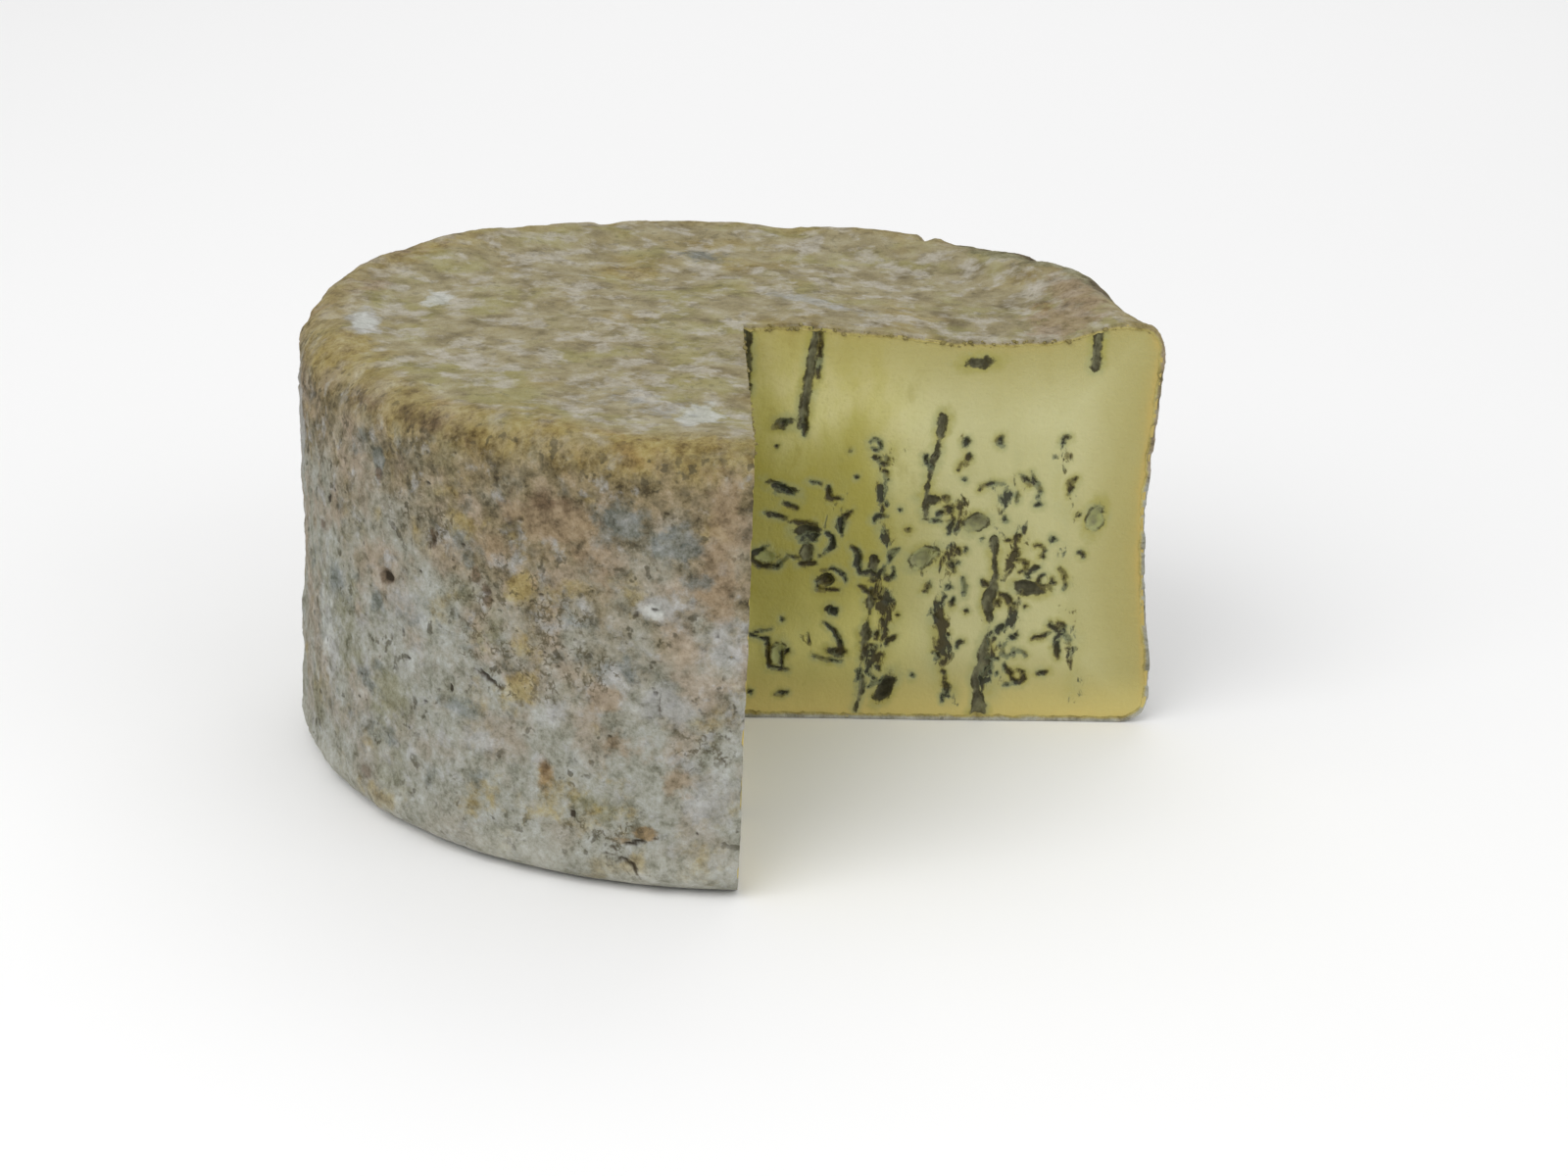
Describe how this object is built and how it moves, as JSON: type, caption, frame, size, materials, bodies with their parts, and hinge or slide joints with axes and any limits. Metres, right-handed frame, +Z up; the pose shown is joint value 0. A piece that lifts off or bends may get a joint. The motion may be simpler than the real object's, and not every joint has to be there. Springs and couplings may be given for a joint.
{
  "type": "cheese wheel",
  "caption": "Natural-rind blue cheese wheel with a quarter cut out, both cut faces veined with mould and needle channels.",
  "frame": {"origin": "centre of the bounding box at the base the wheel stands on", "axes": "+Z up; the missing quarter is between +X and -Y; the cut face in view from the front faces -Y and the other faces +X"},
  "size_m": [0.2806, 0.2846, 0.1411],
  "materials": {
    "rind": "rough natural rind, mottled yellow, tan, grey and white",
    "paste": "pale yellow cut paste with blue-green and black mould veins, slightly moist"
  },
  "bodies": {
    "root": {"cheese_wheel": "rind"}
  },
  "joints": []
}
